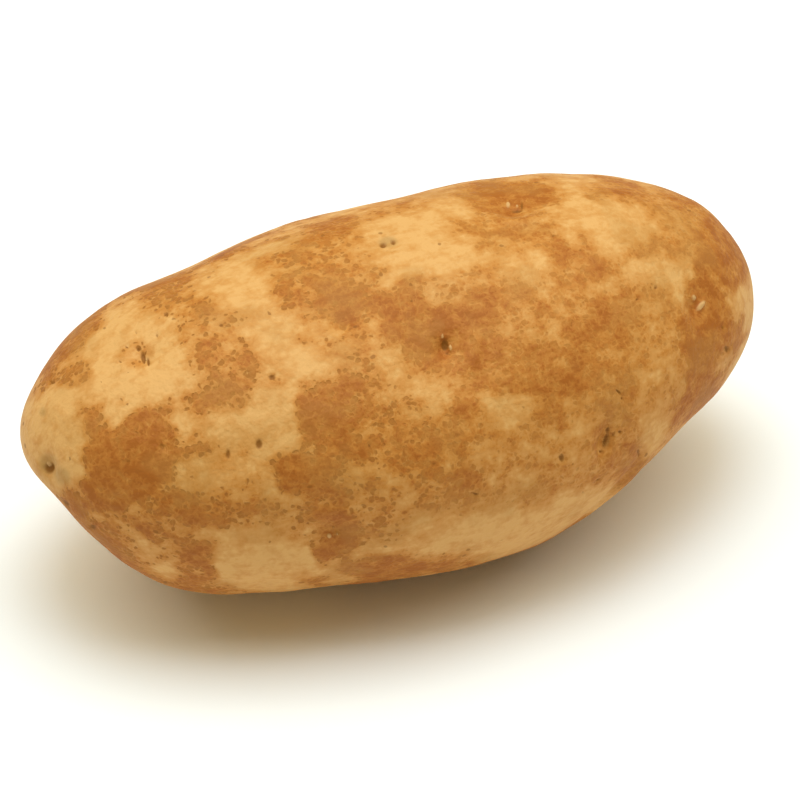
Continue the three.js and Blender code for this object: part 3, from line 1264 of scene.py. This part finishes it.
@dataclass(frozen=True)
class SkinFinish:
    """The potato's skin: pale ochre periderm that turns to dotted, netted and closed russet.

    Names that end in mm are the sizes of grains and cells, and bends_mm gives the grain and the
    amount of each bend. Names that end in step are the ends of a smooth step, of which
    bud_end_step is in millimetres towards the bud end. Names that end in tone say how much a
    thing adds to the tone, and those that end in cover how far it hides what lies under it.
    Names that end in relief are heights, in parts of the height bump_mm. The two that end in
    uneven say how far noise moves the russet share, and calm is the part of it that pale skin
    keeps. Names that end in fade say how much of the dots is lost, and growth, spread, narrowing
    and least are the terms of the dots' and the specks' formulas.
    """

    cream: Colour = (0.665, 0.358, 0.119)
    pale: Colour = (0.595, 0.282, 0.075)
    tan: Colour = (0.53, 0.218, 0.042)
    ochre: Colour = (0.475, 0.176, 0.027)
    russet: Colour = (0.42, 0.138, 0.018)
    deep: Colour = (0.36, 0.105, 0.01)
    umber: Colour = (0.27, 0.1, 0.014)
    olive: Colour = (0.45, 0.215, 0.05)
    dark: Colour = (0.23, 0.08, 0.006)
    bud: Colour = (0.62, 0.36, 0.14)
    stain: Colour = (0.36, 0.2, 0.055)

    broad_mm: float = 9.0
    small_mm: float = 2.6
    streak_mm: float = 1.6
    streak_stretch: tuple[float, float, float] = (0.4, 1.0, 1.0)
    fine_mm: float = 0.8
    bends_mm: tuple[Span, ...] = ((2.4, 1.3), (0.7, 0.4))
    flake_mm: float = 1.0
    line_mm: float = 1.3
    grit_mm: float = 0.55
    speck_mm: float = 3.4

    broad_uneven: float = 0.5
    small_uneven: float = 1.5
    calm: float = 0.5
    lively_step: Span = (0.05, 0.4)

    dot_growth: float = 1.2
    dot_spread: float = 0.5
    dot_narrowing: float = 0.9
    dot_step: Span = (0.0, 0.2)
    closed_step: Span = (0.5, 0.9)
    closed_fade: float = 0.8
    bud_end_step: Span = (-30.0, 15.0)
    bud_end_fade: float = 0.55

    net_step: Span = (0.25, 0.6)
    edge_step: Span = (0.02, 0.2)
    line_step: Span = (0.4, 0.6)
    grit_step: Span = (0.52, 0.7)
    gritty_step: Span = (0.05, 0.5)
    speck_growth: float = 0.32
    speck_least: float = 0.15
    speck_step: Span = (0.0, 0.05)

    ground_tone: float = 0.05
    share_tone: float = 0.84
    dot_tone: float = 0.14
    line_tone: float = -0.16
    grit_tone: float = 0.2
    cell_tone: float = 0.14
    streak_tone: float = 0.5
    fine_tone: float = 0.4

    dot_cover: float = 0.6
    olive_step: Span = (0.5, 0.66)
    olive_cover: float = 0.3
    speck_cover: float = 0.6
    stain_cover: float = 0.5
    mark_cover: float = 0.9

    bump_mm: float = 0.2
    dot_relief: float = -0.4
    small_relief: float = 0.8
    fine_relief: float = 0.9
    roughness: float = 0.62
    dot_roughness: float = 0.1
    gloss: float = 0.22

    @property
    def stops(self) -> tuple[tuple[float, Colour], ...]:
        """The tone at which the skin has each colour.

        Returns:
            Stops in rising order, each a tone and its colour.
        """
        return (
            (0.0, self.cream),
            (0.2, self.pale),
            (0.45, self.tan),
            (0.65, self.ochre),
            (0.85, self.russet),
            (1.0, self.deep),
        )

    def uneven(self, graph: Graph, russet: Socket, broad: Socket, small: Socket) -> Socket:
        """The russet share, made uneven by broad and small noise, and less so on pale skin.

        Formula: the share plus both noises about their middle, times a step that grows with it.

        Args:
            graph: the material's nodes.
            russet: the share that the patches give.
            broad: broad noise.
            small: small noise.

        Returns:
            The uneven share.
        """
        more = graph.sum(0.0, (broad, -MIDDLE, self.broad_uneven), (small, -MIDDLE, self.small_uneven))
        lively = graph.scale_add(graph.step(russet, *self.lively_step), 1.0 - self.calm, self.calm)
        return graph.math("ADD", russet, graph.math("MULTIPLY", more, lively))

    def dots(self, graph: Graph, place: Socket, share: Socket, flakes: bpy.types.Node) -> Socket:
        """The dots of the netted skin.

        Formula: in each cell a dot grows with the share, less the cell's own random number and
        the distance from the cell's middle, until the dots fill their cells. Dots fade where
        the russet is closed, and towards the bud end.

        Args:
            graph: the material's nodes.
            place: the place on the tuber, in millimetres.
            share: the russet share.
            flakes: the small cells.

        Returns:
            1 on a dot and 0 off it.
        """
        pick = graph.split(flakes.outputs["Color"])[0]
        near = flakes.outputs["Distance"]
        grown = graph.scale(share, self.dot_growth)
        reach = graph.sum(grown, (pick, 0.0, -self.dot_spread), (near, 0.0, -self.dot_narrowing))
        dot = graph.step(reach, *self.dot_step)
        dot = graph.fade(dot, graph.step(share, *self.closed_step), self.closed_fade)
        return graph.fade(dot, graph.step(graph.along(place), *self.bud_end_step), self.bud_end_fade)

    def netting(self, graph: Graph, bent: Socket, share: Socket, flakes: bpy.types.Node) -> Socket:
        """What the net adds to the tone.

        Formula: where there is enough russet, light broken lines run along the cells' edges, and
        each cell has a tone of its own. Grit, dark flecks finer than the cells, lies on paler
        skin too.

        Args:
            graph: the material's nodes.
            bent: the place on the tuber, in millimetres, bent as the cells are.
            share: the russet share.
            flakes: the small cells.

        Returns:
            The sum to add to the tone.
        """
        net = graph.step(share, *self.net_step)
        edge = graph.cells(bent, self.flake_mm, "DISTANCE_TO_EDGE").outputs["Distance"]
        line = graph.fade(net, graph.step(edge, *self.edge_step), share=1.0)
        broken = graph.step(graph.noise(bent, self.line_mm, detail=1.0), *self.line_step)
        line = graph.math("MULTIPLY", line, broken)
        grit = graph.step(graph.noise(bent, self.grit_mm), *self.grit_step)
        grit = graph.math("MULTIPLY", grit, graph.step(share, *self.gritty_step))
        pick = graph.split(flakes.outputs["Color"])[0]
        cell = graph.math("MULTIPLY", graph.math("SUBTRACT", pick, MIDDLE), net)
        terms = ((line, 0.0, self.line_tone), (grit, 0.0, self.grit_tone), (cell, 0.0, self.cell_tone))
        return graph.sum(0.0, *terms)

    def specks(self, graph: Graph, bent: Socket) -> Socket:
        """Small round specks, one in some of the wide cells, each of its own size.

        Formula: a speck reaches as far from its cell's middle as the cell's random number says.

        Args:
            graph: the material's nodes.
            bent: the place on the tuber, in millimetres, bent.

        Returns:
            1 on a speck and 0 off it.
        """
        cells = graph.cells(bent, self.speck_mm)
        pick = graph.split(cells.outputs["Color"])[1]
        reach = graph.math("MAXIMUM", graph.scale_add(pick, self.speck_growth, -self.speck_least), 0.0)
        return graph.step(graph.math("SUBTRACT", reach, cells.outputs["Distance"]), *self.speck_step)

    def material(self) -> bpy.types.Material:
        """Builds the skin's material.

        The vertex attribute marks holds the russet share, with its painted shade, and how deep inside
        a dark, a pale or a stained mark the skin lies; one dark mark is a painted shadow. The uneven
        share, the dots, the net, streaks and fine noise add up to a tone, which picks the colour from
        cream to deep russet. Dots turn it to umber, broad mottles to olive, and specks, stains, dark
        marks and buds lie on top.

        Returns:
            The material.
        """
        made = bpy.data.materials.new("potato_skin")
        made.use_nodes = True
        graph = Graph(made.node_tree)
        place = graph.object_mm()
        bent = place
        for size, amount in self.bends_mm:
            bent = graph.bend(bent, size, amount)
        russet, dark, bud, stain = graph.channels("marks")
        broad = graph.noise(place, self.broad_mm)
        small = graph.noise(place, self.small_mm)
        fine = graph.noise(place, self.fine_mm)
        streak = graph.noise(graph.stretch(place, self.streak_stretch), self.streak_mm)
        flakes = graph.cells(bent, self.flake_mm)

        share = self.uneven(graph, russet, broad, small)
        dot = self.dots(graph, place, share, flakes)
        tone = graph.scale_add(share, self.share_tone, self.ground_tone)
        tone = graph.math("ADD", tone, self.netting(graph, bent, share, flakes))
        tone = graph.sum(tone, (dot, 0.0, self.dot_tone), (streak, -MIDDLE, self.streak_tone))
        tone = graph.sum(tone, (fine, -MIDDLE, self.fine_tone))

        colour = graph.ramp(tone, self.stops)
        layers = (
            (dot, self.dot_cover, self.umber),
            (graph.step(broad, *self.olive_step), self.olive_cover, self.olive),
            (self.specks(graph, bent), self.speck_cover, self.dark),
            (graph.step(stain, *MARK_RIM), self.stain_cover, self.stain),
            (graph.step(dark, *MARK_RIM), self.mark_cover, self.dark),
            (graph.step(bud, *MARK_RIM), self.mark_cover, self.bud),
        )
        for where, cover, paint in layers:
            colour = graph.mix(graph.scale(where, cover), colour, paint)

        height = graph.scale(dot, self.dot_relief)
        grains = ((small, -MIDDLE, self.small_relief), (fine, -MIDDLE, self.fine_relief))
        height = graph.sum(height, *grains)
        rough = graph.scale_add(dot, self.dot_roughness, self.roughness)
        graph.surface(colour, rough, graph.bump(height, self.bump_mm * MM), self.gloss)
        return made


# The tuber


@dataclass(frozen=True)
class SkinRelief:
    """The skin's fine relief, in millimetres: russet skin stands proud and is rough."""

    russet_height: float = 0.06
    grain_mm: float = 3.2
    grain_seed: int = 31
    grain_height: float = 0.05
    grain_on_pale: float = 0.4
    bud_height: float = 0.4
    pit_depth: float = 0.35

    def height(self, points: np.ndarray, marks: np.ndarray) -> np.ndarray:
        """The height of the relief.

        Formula: the russet share times its height, plus noise that is stronger on russet skin,
        plus the buds' height, less the depth of the dark marks.

        Args:
            points: points of the body.
            marks: the russet share, dark, pale and stained marks, one row for each point.

        Returns:
            The height at each point.
        """
        russet, dark, bud, _ = marks.T
        grain = self.grain_height * noise(points, self.grain_mm, self.grain_seed, layers=2)
        rise = self.russet_height * russet + grain * (self.grain_on_pale + russet)
        return rise + self.bud_height * ease(bud, *MARK_RIM) - self.pit_depth * ease(dark, *MARK_RIM)


@dataclass
class Tuber:
    """The whole potato: its surface, its pattern and its skin.

    node is the solid that it replaces, and rim is how softly the resting spot's edge is
    rounded, in millimetres.
    """

    form: TuberForm = field(default_factory=TuberForm)
    grid: SkinGrid = field(default_factory=SkinGrid)
    pattern: SkinPattern = field(default_factory=SkinPattern)
    relief: SkinRelief = field(default_factory=SkinRelief)
    finish: SkinFinish = field(default_factory=SkinFinish)
    node: str = "tuber"
    rim: float = 0.1

    def placed(self) -> np.ndarray:
        """The shift, in millimetres, from the body's own frame to the model's.

        The solid's box is matched: its middle along X and Y, and its ground.

        Returns:
            How far the body moves along X, Y and Z.
        """
        low, high = (np.array(corner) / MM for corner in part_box(self.node))
        dirs, _ = self.grid.build()
        points = self.form.body(dirs)
        points += self.form.outward(dirs) * self.form.rise(points)[:, None]
        shift = (low + high) / 2 - (points.min(axis=0) + points.max(axis=0)) / 2
        shift[2] = low[2] - (points[:, 2].min() + self.form.flat_depth)
        return shift

    def rested(self, level: np.ndarray) -> np.ndarray:
        """The heights, with all that would lie under the ground eased up to it."""
        return (level + np.sqrt(level**2 + self.rim**2)) / 2

    def build(self) -> bpy.types.Object:
        """Makes the tuber's mesh, with its marks, and dresses it.

        Returns:
            The piece.
        """
        dirs, faces = self.grid.build()
        base = self.form.body(dirs)
        out = self.form.outward(dirs)
        points = base + out * self.form.rise(base)[:, None]
        pixels = self.pattern.view.pixels(points)
        kinds = [self.pattern.marks(kind, base, out, pixels) for kind in Dot]
        marks = np.stack([self.pattern.russet(base, out, pixels), *kinds], axis=1)
        points += out * self.relief.height(base, marks)[:, None]
        points += self.placed()
        points[:, 2] = self.rested(points[:, 2])
        points *= MM

        mesh = bpy.data.meshes.new("potato")
        mesh.from_pydata(points, [], faces)
        layer = mesh.attributes.new("marks", "FLOAT_COLOR", "POINT")
        layer.data.foreach_set("color", marks.astype(np.float32).ravel())
        mesh.shade_smooth()
        mesh.materials.append(self.finish.material())
        piece = bpy.data.objects.new("potato", mesh)
        bpy.context.scene.collection.objects.link(piece)
        LOG.info("%s: %d faces, %d points", piece.name, len(faces), len(points))
        return piece


# The floor, the light and the camera


@dataclass(frozen=True)
class Lamp:
    """A flat lamp that hangs level over the tuber, its long side along the image's width.

    Its place and its sides are in metres, and its power is in watts.
    """

    place: tuple[float, float, float]
    long: float
    short: float
    power: float
    colour: Colour

    def hang(self, name: str, turn: float) -> None:
        """Hangs the lamp.

        Args:
            name: the lamp's name.
            turn: how far its long side is turned from X, in degrees.
        """
        light = bpy.data.lights.new(name, "AREA")
        light.shape = "RECTANGLE"
        light.size = self.long
        light.size_y = self.short
        light.energy = self.power
        light.color = self.colour
        lamp = bpy.data.objects.new(name, light)
        lamp.location = self.place
        lamp.rotation_euler = (0.0, 0.0, math.radians(turn))
        bpy.context.scene.collection.objects.link(lamp)


@dataclass(frozen=True)
class Studio:
    """A white floor, two lamps overhead in a warm room, and the photograph's camera.

    The softbox is wide and nearly white, and the window is a small cool lamp. nearest is the
    least distance that the camera sees, in metres.
    """

    view: Viewpoint = Viewpoint()
    softbox: Lamp = Lamp((0.06, 0.14, 1.0), 2.4, 1.1, 17.5, (0.94, 0.94, 0.85))
    window: Lamp = Lamp((0.0, 0.0, 1.0), 0.5, 0.5, 4.1, (0.55, 0.7, 0.92))
    sky: float = 0.32
    sky_colour: Colour = (1.0, 0.95, 0.55)
    floor_size: float = 6.0
    floor_white: float = 0.95
    floor_roughness: float = 0.9
    nearest: float = 0.01

    def floor(self) -> None:
        """Lays the floor, one flat matt square, that the tuber rests on."""
        half = self.floor_size / 2
        mesh = bpy.data.meshes.new("floor")
        corners = [(-half, -half, 0), (half, -half, 0), (half, half, 0), (-half, half, 0)]
        mesh.from_pydata(corners, [], [(0, 1, 2, 3)])
        paint = bpy.data.materials.new("floor_white")
        paint.use_nodes = True
        shader = paint.node_tree.nodes["Principled BSDF"]
        shader.inputs["Base Color"].default_value = (self.floor_white,) * 3 + (1.0,)
        shader.inputs["Roughness"].default_value = self.floor_roughness
        shader.inputs["Specular IOR Level"].default_value = 0.0
        mesh.materials.append(paint)
        floor = bpy.data.objects.new("floor", mesh)
        bpy.context.scene.collection.objects.link(floor)

    def world(self) -> None:
        """Surrounds the scene with even warm light."""
        sky = bpy.data.worlds.new("sky")
        sky.use_nodes = True
        background = sky.node_tree.nodes["Background"]
        background.inputs["Color"].default_value = (*self.sky_colour, 1.0)
        background.inputs["Strength"].default_value = self.sky
        bpy.context.scene.world = sky

    def camera(self, shift: np.ndarray) -> None:
        """Stands the camera where the photograph was taken from.

        Args:
            shift: from the body's own frame to the model's, in millimetres.
        """
        data = bpy.data.cameras.new("camera")
        data.lens = self.view.lens
        data.sensor_width = self.view.sensor
        data.clip_start = self.nearest
        camera = bpy.data.objects.new("camera", data)
        camera.location = (self.view.aim + self.view.back * self.view.distance + shift) * MM
        camera.rotation_euler = (-Vector(self.view.back)).to_track_quat("-Z", "Y").to_euler()
        bpy.context.scene.collection.objects.link(camera)
        bpy.context.scene.camera = camera

    def build(self, shift: np.ndarray) -> None:
        """Builds the floor, the lights and the camera.

        Args:
            shift: from the body's own frame to the model's, in millimetres.
        """
        self.floor()
        self.softbox.hang("softbox", self.view.azimuth)
        self.window.hang("window", self.view.azimuth)
        self.world()
        self.camera(shift)
        bpy.context.scene.view_settings.view_transform = "Standard"
        LOG.info("studio: floor, two lamps, sky and camera")


def main() -> None:
    """Builds the potato and its studio, and reports each."""
    logging.basicConfig(level=logging.INFO, format="%(name)s: %(message)s")
    tuber = Tuber()
    Studio().build(tuber.placed())
    piece = tuber.build()
    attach(piece, "root")
    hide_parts("tuber")


if __name__ == "__main__":
    main()
